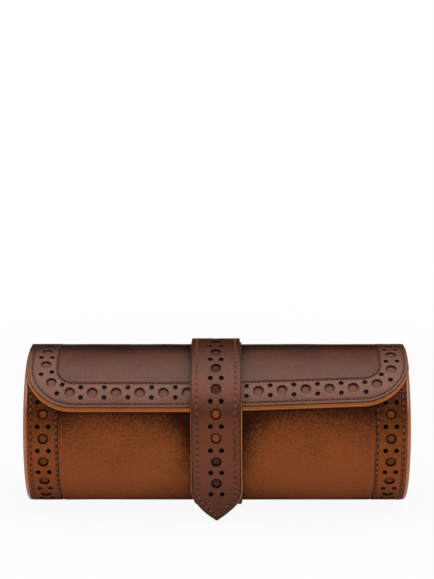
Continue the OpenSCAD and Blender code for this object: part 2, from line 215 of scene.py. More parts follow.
def makeMesh(name, verts, faces, attributes, materials, faceMaterial=None):
    mesh = bpy.data.meshes.new(name)
    mesh.from_pydata((np.asarray(verts) / 1000).tolist(), [], faces)
    for key, values in attributes.items():
        values = np.asarray(values, np.float32)
        kind = "FLOAT_VECTOR" if values.ndim == 2 else "FLOAT"
        layer = mesh.attributes.new(key, kind, "POINT")
        layer.data.foreach_set("vector" if values.ndim == 2 else "value", values.ravel())
    for material in materials:
        mesh.materials.append(material)
    if faceMaterial is not None:
        mesh.polygons.foreach_set("material_index", faceMaterial)
    mesh.shade_smooth()
    mesh.set_sharp_from_angle(angle=math.radians(50))
    mesh.validate()
    mesh.update()
    piece = bpy.data.objects.new(name, mesh)
    bpy.context.scene.collection.objects.link(piece)
    return piece


def cutLeather(name, outline, place, thick, finish, holes=(), domes=(), sinks=(), seams=(), step=2.2,
               edge=.4, lip=.3, ledge=(), relief=None, stain=0., groove=.22, waves=.06, seed=0, holeShadeAndBurn=0):
    # cuts a leather from its flat outline, with punched holes, raised domes and pressed seams, and lays it
    count = len(outline)
    points, edgeDrop, pit, fixed = [outline], [np.full(count, edge)], [np.full(count, .85)], [np.arange(count)]
    total = count

    def addRow(row, drop=0., dark=0.):
        nonlocal total
        points.append(row)
        edgeDrop.append(np.full(len(row), drop))
        pit.append(np.full(len(row), dark))
        total += len(row)

    def roundDrop(r, d):
        return r - math.sqrt(max(r * r - max(r - d, 0) ** 2, 0))

    for d in (edge * .12, edge * .45, edge, edge * 1.9):
        addRow(inset(outline, d, True), roundDrop(edge, d), max(0, 1 - d / edge * 1.8) * .7)
    for d in ledge:
        addRow(inset(outline, d, True))
    for u, v, r in holes:
        circle = circleOf(24 if r > 2 else 14)
        fixed.append(np.arange(total, total + len(circle)))
        for d in (0, lip * .12, lip * .45, lip, lip * 2):
            addRow(circle * (r + d) + (u, v), roundDrop(lip, d), max(0, 1 - d / lip) ** 1.5)
    for u, v, r, rise in domes:
        circle = circleOf(20)
        addRow(np.array([[u, v]]), -rise, -1)
        for t in (.3, .55, .75, .88, .96, 1, 1.12):
            high = rise * max(0, math.cos(min(t, 1) * math.pi / 2)) ** .7
            addRow(circle * (r * t) + (u, v), -high, -max(0., 1 - t ** 4))
    for u, v, r, deep in sinks:
        circle = circleOf(12)
        addRow(np.array([[u, v]]), deep)
        for t, share in ((.6, 1), (.95, .9), (1.1, .1), (1.25, 0)):
            addRow(circle * (r * t) + (u, v), deep * share)
    rows = []
    for line in seams:
        line = evenly(line, 1.1)
        rows.append(line)
        for d in (0, .45, -.45, 1, -1):
            row = inset(line, d)
            keep = insideOf(row, outline)
            if keep.any():
                addRow(row[keep])
    taken = np.vstack(points)
    low, high = outline.min(0), outline.max(0)
    gridU = np.arange(low[0] + step / 2, high[0], step)
    gridV = np.arange(low[1] + step / 2, high[1], step * .87)
    grid = np.array([(u + (j % 2) * step / 2, v) for j, v in enumerate(gridV) for u in gridU])
    grid = grid[insideOf(grid, outline)]
    if len(grid):
        grid = grid[nearest(grid, taken) > step * .55]
        for u, v, r in holes:
            grid = grid[np.hypot(grid[:, 0] - u, grid[:, 1] - v) > r]
        if len(grid):
            addRow(grid)
    points, edgeDrop, pit = np.vstack(points), np.concatenate(edgeDrop), np.concatenate(pit)
    edges = [(int(a), int(b)) for loop in fixed for a, b in zip(loop, np.roll(loop, -1))]
    flat, _, faces, original, _, _ = delaunay_2d_cdt([Vector(p) for p in points.tolist()], edges, [], 0, 1e-5)
    source = np.array([o[0] if o else -1 for o in original])
    flat = np.array([tuple(p) for p in flat])
    drop = np.where(source >= 0, edgeDrop[source], 0)
    dark = np.where(source >= 0, pit[source], 0)
    faces = np.array(faces)
    centre = flat[faces].mean(1)
    keep = insideOf(centre, outline)
    for u, v, r in holes:
        keep &= np.hypot(centre[:, 0] - u, centre[:, 1] - v) > r * .985
    faces = faces[keep]
    a, b, c = flat[faces[:, 0]], flat[faces[:, 1]], flat[faces[:, 2]]
    area = (b[:, 0] - a[:, 0]) * (c[:, 1] - a[:, 1]) - (b[:, 1] - a[:, 1]) * (c[:, 0] - a[:, 0])
    faces = faces[np.abs(area) > 1e-7]
    faces = np.where((area[np.abs(area) > 1e-7] < 0)[:, None], faces[:, ::-1], faces)
    u, v = flat.T
    reach = nearest(flat, evenly(outline, .35, True))
    top = thick - drop
    seamNear = np.zeros(len(flat))
    if rows:
        away = nearest(flat, np.vstack([evenly(r, .4) for r in rows]))
        seamNear = np.exp(-(away / .55) ** 2)
        top = top - groove * np.exp(-(away / .7) ** 2)
    if waves:
        top = top + waves * wobble(u, v, .055, seed) * smooth(reach, 0, 3)
    if relief is not None:
        top = top + relief(u, v)
    used = dict.fromkeys((m, n) for i, j, k in faces.tolist() for m, n in ((i, j), (j, k), (k, i)))
    rim = [(m, n) for m, n in used if (n, m) not in used]
    count = len(flat)
    upper, lower = place(u, v, top), place(u, v, np.minimum(0, top))
    verts = np.vstack([upper, lower])
    solid = [tuple(int(x) for x in f) for f in faces]
    solid += [tuple(int(x) + count for x in f[::-1]) for f in faces]
    solid += [(int(n), int(m), int(m) + count, int(n) + count) for m, n in rim]
    tri = verts[np.array(solid[:len(faces) * 2])]
    volume = np.einsum("ij,ij->i", tri[:, 0], np.cross(tri[:, 1], tri[:, 2])).sum()
    if volume < 0:
        solid = [f[::-1] for f in solid]
    shade = stain(u, v, reach) if callable(stain) else np.full(count, stain)
    both = np.concatenate
    attributes = {
        "flatPlace": np.stack([both([u, u]), both([v, v]), both([top, top * 0])], 1),
        "stain": both([np.clip(shade, 0, 1), np.clip(shade, 0, 1)]),
        # on an underlay this darkens everything outside the domes' tops: the burnt edges of the punching, and painted
        # shade on the floors of the small holes and round the domes
        "pit": both([np.clip(dark + holeShadeAndBurn, 0, 1), np.clip(np.maximum(dark, 0) + holeShadeAndBurn, 0, 1)]),
        "seam": both([seamNear, seamNear * 0]),
    }
    print(f"  {name}: {len(verts)} points, {len(solid)} faces")
    return makeMesh(name, verts, solid, attributes, [finish])


def dye(r, g, b):
    # a colour as it looks, from 0 to 255, made into the light it sends back
    return tuple((c / 255 / 12.92 if c < 11 else ((c / 255 + .055) / 1.055) ** 2.4) for c in (r, g, b)) + (1,)


class Wire:
    # one socket, so that shader sums are written as sums
    def __init__(self, finish, socket):
        self.finish, self.socket = finish, socket

    def math(self, operation, *values):
        return self.finish.add("ShaderNodeMath", {"operation": operation}, dict(enumerate(values)))

    def __add__(self, other):
        return self.math("ADD", self, other)

    def __sub__(self, other):
        return self.math("SUBTRACT", self, other)

    def __rsub__(self, other):
        return self.math("SUBTRACT", other, self)

    def __mul__(self, other):
        return self.math("MULTIPLY", self, other)

    __radd__, __rmul__ = __add__, __mul__

    def most(self, other):
        return self.math("MAXIMUM", self, other)

    def ramp(self, low, high):
        return self.finish.add("ShaderNodeMapRange", {"interpolation_type": "SMOOTHSTEP"},
                               {"Value": self, "From Min": low, "From Max": high})


class Finish:
    # the nodes of a material, or of the world
    def __init__(self, owner):
        owner.use_nodes = True
        self.owner, self.tree = owner, owner.node_tree
        self.tree.nodes.clear()

    def add(self, kind, settings=None, sockets=None, out=0):
        node = self.tree.nodes.new(kind)
        for key, value in (settings or {}).items():
            setattr(node, key, value)
        for key, value in (sockets or {}).items():
            if isinstance(value, Wire):
                self.tree.links.new(value.socket, node.inputs[key])
            else:
                node.inputs[key].default_value = value
        return Wire(self, node.outputs[out]) if node.outputs else None

    def mix(self, a, b, share):
        return self.add("ShaderNodeMix", {"data_type": "RGBA"}, {0: share, 6: a, 7: b}, 2)

    def mark(self, name):
        return self.add("ShaderNodeAttribute", {"attribute_name": name}, None, "Fac")

    def noise(self, place, scale, detail=3, rough=.55):
        return self.add("ShaderNodeTexNoise", None,
                        {"Vector": place, "Scale": scale, "Detail": detail, "Roughness": rough})

    def millimetres(self):
        place = self.add("ShaderNodeTexCoord", None, None, "Object")
        return self.add("ShaderNodeVectorMath", {"operation": "SCALE"}, {0: place, "Scale": 1000.})

    def show(self, **sockets):
        named = {key.replace("_", " "): value for key, value in sockets.items()}
        return self.surface(self.add("ShaderNodeBsdfPrincipled", None, named))

    def surface(self, shader, kind="Material"):
        self.add("ShaderNodeOutput" + kind, None, {"Surface": shader})
        return self.owner


def newFinish(name):
    return Finish(bpy.data.materials.new(name))


usual = {                     # what a leather has unless its own finish says otherwise
    "seam": dye(30, 10, 5), "burnt": dye(26, 9, 5), "grainScale": 1.5, "lift": 0., "patina": .5, "mottle": .8,
    "seamShare": .75, "bump": .3, "coat": 0., "shineTint": dye(255, 234, 228),
}


def leatherFinish(name, tone):
    # aniline-dyed calf: mixed from light to dark by its stain mask, which holds burnish and painted shade, mottled,
    # burnt where it is punched, with painted shade on underlays in the holes, pressed where it is sewn
    tone = {**usual, **tone}
    f = newFinish(name)
    place = f.add("ShaderNodeAttribute", {"attribute_name": "flatPlace"}, None, "Vector")
    stain, pit, seam = f.mark("stain"), f.mark("pit"), f.mark("seam")
    grain = f.noise(place, tone["grainScale"], 4, .62)
    pores = f.noise(place, 3.6, 2, .5)
    patina = f.noise(place, .045, 3, .5)
    clouds = (patina - .5) * tone["patina"] + (grain - .5) * tone["mottle"]
    colour = f.mix(tone["light"], tone["dark"], (stain + tone["lift"] + clouds).ramp(-.12, 1.05))
    colour = f.mix(colour, tone["seam"], seam * tone["seamShare"])
    colour = f.mix(colour, tone["burnt"], pit.ramp(.1, .85))
    rough = (grain - .5) * .22 + tone["rough"] + pit * .25 + seam * .1
    bump = f.add("ShaderNodeBump", None, {"Strength": tone["bump"], "Distance": .0003, "Height": grain + pores * .5})
    return f.show(Base_Color=colour, Roughness=rough, Normal=bump, Specular_IOR_Level=tone["shine"],
                  Specular_Tint=tone["shineTint"], Coat_Weight=tone["coat"], Coat_Roughness=.18)


finishes = {
    # the hide reaches its dark tone by burnish and by painted shade under the flap, beside the strap and low down
    "hide": leatherFinish("burnishedHide", {
        "light": dye(144, 76, 38), "dark": dye(38, 12, 2), "seam": dye(36, 12, 5), "burnt": dye(34, 13, 5),
        "rough": .5, "shine": .06, "mottle": 1.05, "patina": .45, "grainScale": 1.1, "bump": .5}),
    # the rim's light tone is raised to stand in partly for its highlight streak: a painted highlight
    "rim": leatherFinish("rolledRim", {
        "light": dye(172, 96, 54), "dark": dye(84, 34, 15), "rough": .3, "shine": .7, "coat": .5, "mottle": 1.}),
    "top": leatherFinish("darkTopLeather", {
        "light": dye(100, 56, 40), "dark": dye(14, 5, 3), "rough": .28, "shine": .41,
        "shineTint": dye(255, 222, 208), "mottle": 2., "lift": .3, "bump": .8, "grainScale": 1.4}),
    # the border is the panel's leather in a lighter tone, partly a painted sheen along the flap's front border
    "border": leatherFinish("borderLeather", {
        "light": dye(124, 76, 60), "dark": dye(20, 8, 5), "rough": .32, "shine": .52,
        "shineTint": dye(255, 224, 210), "mottle": 1.6, "lift": .3, "patina": .4, "bump": .8, "grainScale": 1.4,
        "seamShare": .85}),
    "strap": leatherFinish("strapLeather", {
        "light": dye(106, 52, 28), "dark": dye(56, 24, 15), "seam": dye(64, 26, 13), "rough": .29, "shine": .4,
        "shineTint": dye(255, 226, 212), "mottle": 1.5, "patina": .3, "seamShare": .65, "bump": .8,
        "grainScale": 1.3}),
    "tanDome": leatherFinish("tanUnderlay", {
        "light": dye(104, 52, 22), "dark": dye(60, 27, 12), "burnt": dye(22, 8, 4), "rough": .55, "shine": .12}),
    "strapDome": leatherFinish("strapUnderlay", {
        "light": dye(132, 67, 27), "dark": dye(60, 29, 18), "burnt": dye(20, 7, 4), "rough": .45, "shine": .16,
        "mottle": .5, "patina": .1}),
    "darkDome": leatherFinish("darkUnderlay", {
        "light": dye(98, 54, 40), "dark": dye(122, 58, 24), "burnt": dye(20, 7, 4), "rough": .42, "shine": .34,
        "mottle": .3, "patina": .1}),
    "edge": leatherFinish("burnishedEdge", {
        "light": dye(178, 100, 44), "dark": dye(80, 36, 15), "burnt": dye(124, 62, 24), "rough": .42, "shine": .25,
        "patina": .6, "bump": .15}),
}


def clothFinish(name, light, dark, rough=.9, fuzz=.35, scale=1.6):
    f = newFinish(name)
    place = f.millimetres()
    nap = f.noise(place, scale, 4, .65)
    drift = f.noise(place, .07, 2, .5)
    colour = f.mix(light, dark, (nap * .6 + drift * .6).ramp(.35, .85))
    bump = f.add("ShaderNodeBump", None, {"Strength": .5, "Distance": .0002, "Height": nap})
    return f.show(Base_Color=colour, Roughness=rough, Normal=bump, Sheen_Weight=fuzz, Specular_IOR_Level=.2)


finishes["suede"] = clothFinish("liningSuede", dye(168, 128, 88), dye(132, 96, 62))
finishes["cushion"] = clothFinish("cushionSuede", dye(178, 138, 98), dye(146, 108, 72))
finishes["board"] = clothFinish("fibreboard", dye(150, 140, 122), dye(118, 108, 92), .85, 0., .5)
finishes["binding"] = clothFinish("bindingLeather", dye(84, 44, 28), dye(50, 22, 12), .5, 0.)
finishes["thread"] = clothFinish("rustThread", dye(116, 52, 20), dye(58, 22, 8), .7, 0., 3.)
finishes["brownThread"] = clothFinish("brownThread", dye(166, 98, 60), dye(92, 46, 24), .7, 0., 3.)
# needle holes are drawn as dark discs: painted shade for the depth of the holes
finishes["needle"] = clothFinish("needleHole", dye(34, 14, 8), dye(20, 8, 4), .8, 0.)


def steelFinish():
    f = newFinish("platedSteel")
    smear = f.noise(f.millimetres(), .6, 3)
    return f.show(Base_Color=f.mix(dye(190, 190, 194), dye(150, 150, 156), smear),
                  Roughness=smear * .2 + .25, Metallic=1.)


finishes["steel"] = steelFinish()
print("finishes mixed")


stitch = {
    "sides": 8, "rings": 6, "start": .1, "end": .76, "dive": .5, "thin": .45,
    "holeSides": 10, "hole": ((.56, -.3), (.5, 0), (.25, .05)),
}


def sew(name, runs, threadFinish, width=.62, rise=.16, slant=.12):
    # runs: (line, place, height, pitch); each stitch dives at both ends into a needle hole, drawn as a dark disc of
    # painted shade
    verts, faces, kinds, sewn = [], [], [], []
    sides, rings, holeSides = stitch["sides"], stitch["rings"], stitch["holeSides"]
    tube, needle = circleOf(sides), circleOf(holeSides)
    t = np.linspace(stitch["start"], stitch["end"], rings)
    fromMiddle = t - (stitch["start"] + stitch["end"]) / 2
    dive = np.abs(fromMiddle / fromMiddle[-1]) ** 3
    fat = width / 2 * (1 - stitch["thin"] * dive)
    for line, place, height, pitch in runs:
        line, first = evenly(line, pitch), len(verts)
        for a, b in zip(line, line[1:]):
            way = b - a
            across = np.array([-way[1], way[0]]) / max(np.hypot(*way), 1e-9)
            mid = a + way * t[:, None] + across * (fromMiddle * slant * pitch)[:, None]
            lift = height + rise - stitch["dive"] * dive
            base = len(verts)
            for j in range(rings):
                ring = mid[j] + across * (tube[:, 0] * fat[j])[:, None]
                verts += [(p[0], p[1], up) for p, up in zip(ring, lift[j] + tube[:, 1] * fat[j] * .8)]
            faces += netFaces(base, rings, sides)
            faces.append(tuple(base + k for k in range(sides))[::-1])
            faces.append(tuple(base + (rings - 1) * sides + k for k in range(sides)))
            kinds += [0] * ((rings - 1) * sides + 2)
            hole, base = a - way * .07, len(verts)
            for r, up in stitch["hole"]:
                for c, w in needle:
                    p = hole + across * c * r * .85 + way / pitch * w * r
                    verts.append((p[0], p[1], height + up))
            faces += netFaces(base, len(stitch["hole"]), holeSides)
            faces.append(tuple(base + 2 * holeSides + k for k in range(holeSides)))
            faces.append(tuple(base + k for k in range(holeSides))[::-1])
            kinds += [1] * (2 * holeSides + 2)
        flat = np.array(verts[first:])
        sewn.append(place(flat[:, 0], flat[:, 1], flat[:, 2]))
    return makeMesh(name, np.vstack(sewn), faces, {}, [threadFinish, finishes["needle"]], kinds)


# case: middle leather, perforated side bands, underlay, rims and ends
case = {
    "leatherT": 1.2, "underlayT": .8, "bandHoleX": 91.5, "outerStitchX": 98., "innerStitchX": 84.5,
    "firstHole": 25, "holePitch": 13, "holeR": 2.7, "pipR": 1.2, "pipGap": 5.8, "pipDeep": .6, "domeRise": 1.,
    "stitch": 3.6, "threadWide": .5, "threadSunk": .16,
    # below the lip and beside the strap the case is darkened by painted shadow, partly burnish; low down by painted
    # shade; at the back and the ends it is only darker
    "lipDarkTo": 27, "lipBurnish": (.84, 20), "backDarkTo": -205, "backBurnish": (.8, 8), "strapBurnish": (.62, 8),
    "endFade": .3, "lowBurnish": .32, "endBurnish": .16,
}
bandIn, bodyHalf = bandLow[0], bandHigh[0]
caseCourse = arcCourse(caseR, lay["lipAngle"], lay["hingeAngle"] - 360)
caseLong = caseCourse.length
onCase = laid(caseCourse, -case["leatherT"])


def caseShadeAndBurnish(u, v, reach):
    # painted shadow, partly burnish, below the flap's lip and beside the strap, painted shade low down, and darker
    # along the back and at the two ends
    a = lay["lipAngle"] - np.degrees(v / caseR)
    shade = fading(case["lipDarkTo"] - a, *case["lipBurnish"]) + fading(a - case["backDarkTo"], *case["backBurnish"])
    shade *= 1 - case["endFade"] * smooth(np.abs(u), 80, 92)
    # beside the strap: painted shadow of the strap, partly burnish, fading towards the bottom
    dark, over = case["strapBurnish"]
    beside = np.maximum(np.abs(u - strapX) - strapHalf, 0) / over
    shade += dark * np.exp(-beside ** 1.3) * (1 - .6 * smooth(-a, 8, 34))
    # low down the case gets painted shade where less light reaches it
    return shade + case["lowBurnish"] * smooth(-a, 22, 62) + case["endBurnish"] * smooth(np.abs(u), 70, 92)


def box(lowU, highU, lowV, highV, r=.8):
    return cornered([(lowU, lowV, r), (highU, lowV, r), (highU, highV, r), (lowU, highV, r)])


def pipPair(x, v):
    return [(x + e * case["pipGap"] / 2, v, case["pipR"]) for e in (-1, 1)]


def sinksFor(pips, deep=case["pipDeep"]):
    return [(u, v, r + .1, deep) for u, v, r in pips]


def bandMarks(side):
    x, v = side * case["bandHoleX"], math.radians(lay["lipAngle"] - case["firstHole"]) * caseR
    big, pips = [], pipPair(x, v - case["holePitch"] / 2)
    while v < caseLong - 5:
        big.append((x, v, case["holeR"]))
        if v + case["holePitch"] / 2 < caseLong - 3:
            pips += pipPair(x, v + case["holePitch"] / 2)
        v += case["holePitch"]
    return big, pips


caseLeather = cutLeather("caseLeather", box(-bandIn + .08, bandIn - .08, 0, caseLong), onCase, case["leatherT"],
                         finishes["hide"], step=2.6, stain=caseShadeAndBurnish, waves=.09, seed=3,
                         relief=lambda u, v: -.2 * smooth(np.abs(u), bandIn - 1.6, bandIn))
sideBands, bandThreads, allBig, allPips = [], [], [], []
for side, word in ((-1, "Left"), (1, "Right")):
    big, pips = bandMarks(side)
    allBig += big
    allPips += pips
    edges = sorted((side * (bandIn + .04), side * (bodyHalf - .04)))
    lines = [np.array([(side * x, .9), (side * x, caseLong - .9)])
             for x in (case["innerStitchX"], case["outerStitchX"])]
    sideBands.append(cutLeather("sideBand" + word, box(edges[0], edges[1], 0, caseLong), onCase, case["leatherT"],
                                finishes["hide"], holes=big + pips, seams=lines, step=1.9, edge=.35,
                                stain=caseShadeAndBurnish, seed=5 + side))
    runs = [(line, onCase, case["leatherT"] - case["threadSunk"], case["stitch"]) for line in lines]
    bandThreads.append(sew("bandThread" + word, runs, finishes["brownThread"], case["threadWide"]))
caseUnderlay = cutLeather("caseUnderlay", box(-bodyHalf + .3, bodyHalf - .3, 0, caseLong),
                          laid(caseCourse, -case["leatherT"] - case["underlayT"] - .03), case["underlayT"],
                          finishes["tanDome"],
                          domes=[(u, v, r - .12, case["domeRise"]) for u, v, r in allBig],
                          sinks=sinksFor(allPips), step=6, waves=0, holeShadeAndBurn=1)


def turned(name, profile, finish, closed, sides=180, planar=True, stain=lambda r, w: .12):
    # a part turned round the roll's axis, from (x, r) points
    profile = np.array(profile)
    turn = np.arange(sides) / sides * 2 * math.pi
    along = np.concatenate([[0], np.cumsum(np.hypot(*np.diff(profile, axis=0).T))])
    verts, flat = [], []
    for w in turn:
        for (x, r), s in zip(profile, along):
            y, z = -r * math.cos(w), r * math.sin(w)
            verts.append((x, y, z + axisZ))
            flat.append((y, z, x) if planar else (w * r, s, 0))
    count = len(profile)
    faces = netFaces(0, sides, count, True, closed)
    if not closed:
        faces.append(tuple(i * count for i in range(sides)))
        faces.append(tuple(i * count + count - 1 for i in range(sides))[::-1])
    verts = np.array(verts)
    tri = np.array([f[:3] for f in faces])
    volume = np.einsum("ij,ij->i", verts[tri[:, 0]], np.cross(verts[tri[:, 1]], verts[tri[:, 2]])).sum()
    if volume < 0:
        faces = [f[::-1] for f in faces]
    zero = np.zeros(len(verts))
    shade = np.array([stain(r, w) for w in turn for _, r in profile])
    return makeMesh(name, verts, faces, {"flatPlace": flat, "stain": shade, "pit": zero, "seam": zero}, [finish])


ends = {"stitchR": 36.2, "puff": .45, "stitch": 3.5, "threadSunk": .14, "edgeFrom": 153.8, "edgeTo": 43}
endLow, endHigh = boxOf("end_panel_right")
rims, endLeathers, endThreads, endEdges = [], [], [], []
for side, word in ((-1, "Left"), (1, "Right")):
    x0, x1 = rimLow[0], rimHigh[0]
    inner = endHigh[1] + .1
    roll = [(x0 + .05, inner), (x0 + .05, caseR - .35), (x0 + .3, caseR - .06), (x0 + .75, caseR),
            (x0 + 1.2, caseR - .12), (x0 + 1.62, caseR - .42), (x0 + 1.95, caseR - .85), (x1 - .06, caseR - 1.3),
            (x1, caseR - 1.75), (x1 - .1, caseR - 2.15), (x1 - .4, inner)]
    # the rim is darker over its top: painted shade where its highlight falls away
    rims.append(turned("rim" + word, [(side * x, r) for x, r in roll], finishes["rim"], True, 240, False,
                       lambda r, w: .05 + .42 * smooth(math.sin(w), .05, .55)))
    t, face, edge, ringR = ends["puff"], endHigh[0], endHigh[1], ends["stitchR"]
    disc = [(endLow[0] + .02, .3), (endLow[0] + .02, edge - .05), (face - .4, edge), (face - .1, edge - .12),
            (face, edge - .45), (face, ringR + .7), (face - .14, ringR + .3), (face - .2, ringR),
            (face - .14, ringR - .35), (face + .05, ringR - .9), (face + t * .5, ringR - 2.4)]
    disc += [(face + t * (1 - .5 * (r / 33) ** 4), r) for r in (31, 28, 24, 20, 16, 12, 8, 4, .3)]
    endLeathers.append(turned("endLeather" + word, [(side * x, r) for x, r in disc], finishes["hide"], False,
                              stain=lambda r, w: .3 + .45 * smooth(r, 22, 38)))
    wall, board = boxOf("end_lining_" + word.lower()), boxOf("end_board_" + word.lower())[1][1]
    near = abs(wall[0 if side > 0 else 1][0])
    edges = sorted((side * near, side * (x0 - .02)))
    long = math.radians(ends["edgeFrom"] - ends["edgeTo"]) * board
    endEdges.append(cutLeather("endEdge" + word, box(edges[0], edges[1], 0, long),
                               laid(arcCourse(board + .05, ends["edgeFrom"], ends["edgeTo"])), caseR - .15 - board,
                               finishes["hide"], step=1.6, edge=.5, waves=0, stain=.55, seed=41))

    def onEnd(u, v, h, side=side, face=face, ringR=ringR):
        r = ringR + v
        return np.stack([side * (face + h), -r * np.cos(u / ringR), r * np.sin(u / ringR) + axisZ], -1)

    ring = np.array([(0, 0), (ringR * 2 * math.pi, 0)])
    endThreads.append(sew("endThread" + word, [(ring, onEnd, -ends["threadSunk"], ends["stitch"])],
                          finishes["thread"]))
print("case cut and sewn")


# flap: panel, perforated border, underlay, lining and back leather
flap = {
    "half": flapHigh[0], "leatherT": .85, "underlayT": .45, "liningT": 1., "cornerR": 24, "borderW": 14.15,
    "innerR": 8.5, "outerStitch": 1.7, "innerStitch": 13.55, "outerExtra": (.8, 0), "sideExtra": (2., .7),
    "holeLine": 8.3, "holePitch": 12.47, "holePhase": -3.2, "pipDeep": .4, "dishDeep": .36,
    "frontLip": 2.2, "sideLip": .8, "stitch": 3.6, "threadWide": .66, "threadRise": .02, "threadSunk": .16,
    "skew": .0385, "cornerShift": .85, "strapBurnish": (.5, 3.5), "backBurnish": .42,
    "leftHoles": (1.3, .7),
}
flapLong = flapR * math.radians(lay["flapBack"] - lay["flapEdge"])
flapCourse = arcCourse(flapR, lay["flapBack"], 20)


def flapSkew(u, v):
    # the flap of the real roll is sewn on a little askew: its right half sits further back
    return flap["skew"] * np.maximum(u + 4, 0) * (1 - smooth(v, 30, 84)) * smooth(u, -12, 12)


def flapShift(u, v):
    # its right end also stands a little further out
    return flap["cornerShift"] * smooth(u, 66, 97)


def onFlap(depth):
    return laid(flapCourse, -depth, flapLong, -1, flapSkew, flapShift)


def flapLine(d, r=None, step=.8, extra=(0, 0)):
    # a line that follows the flap's front and sides, d inside its edge and a little more at the two sides
    r = max(flap["cornerR"] - d, .6) if r is None else r
    x, top = flap["half"] - d, flapLong - .25
    turn = np.radians(np.arange(0, 91, 6))
    left = [(-x, top)] + [(-x + r - r * math.cos(a), d + r - r * math.sin(a)) for a in turn]
    right = [(-u - extra[1], v) for u, v in left[::-1]]
    return evenly(np.array([(u + extra[0], v) for u, v in left] + right), step)


# painted shadow of the strap beside it, partly burnish, and painted shade over the flap's top and back
def flapShadeAndBurnish(u, v, reach):
    beside = np.abs(u - strapX) - strapHalf - .3
    return fading(beside, *flap["strapBurnish"]) + flap["backBurnish"] * smooth(v, 34, 46)


def flapMarks():
    # holes along the border, those at the left end a little further in and up
    line = flapLine(flap["holeLine"], None, .25)
    s = np.concatenate([[0], np.cumsum(np.hypot(*np.diff(line, axis=0).T))])
    way = np.gradient(line, s, axis=0)
    big, pips = [], []
    for k in range(-30, 31):
        for half in (0, .5):
            t = s[-1] / 2 + flap["holePhase"] + (k + half) * flap["holePitch"]
            if not 3.5 < t < s[-1] - 3.5:
                continue
            p = np.array([np.interp(t, s, line[:, i]) for i in (0, 1)])
            inward, upward = flap["leftHoles"]
            p += (inward * smooth(-p[0], 68, 90), upward * smooth(p[1], 14, 22) * (p[0] < 0))
            w = np.array([np.interp(t, s, way[:, i]) for i in (0, 1)])
            if half:
                beside = np.array([-w[1], w[0]]) * case["pipGap"] / 2
                pips += [(*(p + e * beside), case["pipR"]) for e in (-1, 1)]
            else:
                big.append((*p, case["holeR"]))
    return big, pips


def dishStain(u, v, spots, low=.2, high=1.3):
    # in a punched hole the leather below is warmer under the far lip
    away = np.stack([np.hypot(u - a, v - b) for a, b, _ in spots])
    which = away.argmin(0)
    return smooth(v - np.array([b for _, b, _ in spots])[which], low, high)


big, pips = flapMarks()
outerLine = flapLine(flap["outerStitch"], extra=flap["outerExtra"])
innerLine = flapLine(flap["innerStitch"], flap["innerR"] + .5, extra=flap["sideExtra"])
borderLoop = np.vstack([flapLine(0, None, 1.),
                        flapLine(flap["borderW"], flap["innerR"], 1., flap["sideExtra"])[::-1]])
onBorder = onFlap(flap["leatherT"])
panelLoop = flapLine(flap["borderW"] + .06, flap["innerR"], 1., flap["sideExtra"])
panelLoop = evenly(np.vstack([panelLoop, [(panelLoop[0][0], flapLong - .25)]]), 1.1, True)
flapBorder = cutLeather("flapBorder", borderLoop, onBorder, flap["leatherT"], finishes["border"], holes=big + pips,
                        seams=[outerLine, innerLine], step=1.9, edge=.4, stain=flapShadeAndBurnish, waves=.05, seed=11)
flapPanel = cutLeather("flapPanel", panelLoop, onBorder, flap["leatherT"] - .1, finishes["top"], step=2.4, edge=.3,
                       stain=flapShadeAndBurnish, waves=.14, seed=17)


def flapSheet(side, front, r):
    # outline of a leather as wide as the flap, round at its two front corners
    back = flapLong - .3
    return cornered([(-side, front, r), (side, front, r), (side, back, .8), (-side, back, .8)])


flapUnderlay = cutLeather("flapUnderlay", flapSheet(flap["half"] - .3, .3, flap["cornerR"]),
                          onFlap(flap["leatherT"] + .03 + flap["underlayT"]), flap["underlayT"],
                          finishes["darkDome"], domes=[(u, v - .35, r - .1, -flap["dishDeep"]) for u, v, r in big],
                          sinks=sinksFor(pips, flap["pipDeep"]), step=6, edge=.16, waves=0, holeShadeAndBurn=1,
                          stain=lambda u, v, reach: dishStain(u, v, big))


def liningStain(u, v, reach):
    return (.5 * (1 - smooth(reach, 0, .5)) + .6 * np.exp(-((reach - 1.05) / .22) ** 2)
            + .9 * smooth(reach, 1.9, 2.4) * (1 - smooth(reach, 3, 6)))


flapLining = cutLeather("flapLining",
                        flapSheet(flap["half"] + flap["sideLip"], -flap["frontLip"], flap["cornerR"] + 1),
                        onFlap(flap["leatherT"] + .1 + flap["underlayT"] + flap["liningT"]), flap["liningT"],
                        finishes["edge"], step=3.5, edge=.46, ledge=(.85, 1.05, 1.25, 1.6, 2., 2.5),
                        stain=liningStain, waves=.04, seed=23)
flapThread = sew("flapThread", [(line, onBorder, flap["leatherT"] - flap["threadSunk"], flap["stitch"])
                                for line in (outerLine, innerLine)],
                 finishes["thread"], flap["threadWide"], flap["threadRise"])

fold = {"leatherT": .9, "gap": .06, "footStitch": (1.6, 1.7)}   # the leather that bends at the hinge
backAngles = np.arange(lay["hingeFoot"], lay["flapBack"] - .01, -.35)
footR = caseR + fold["gap"]
foldRise = smooth(-backAngles, -lay["hingeFoot"] + 1.5, -lay["flapBack"] - 1)
backCourse = Course(polar(footR + (flapR - fold["leatherT"] - footR) * foldRise, backAngles))
onBack = laid(backCourse)
footIn, footUp = fold["footStitch"]
footLine = np.array([(-flap["half"] + footIn, footUp), (flap["half"] - footIn, footUp)])
flapBack = cutLeather("flapBack", box(-flap["half"] + .1, flap["half"] - .1, 0, backCourse.length), onBack,
                      fold["leatherT"], finishes["top"], seams=[footLine], step=1.8, edge=.3, stain=.2, seed=29)
backThread = sew("flapBackThread", [(footLine, onBack, fold["leatherT"] - flap["threadSunk"], flap["stitch"])],
                 finishes["thread"])
print("flap cut and sewn")


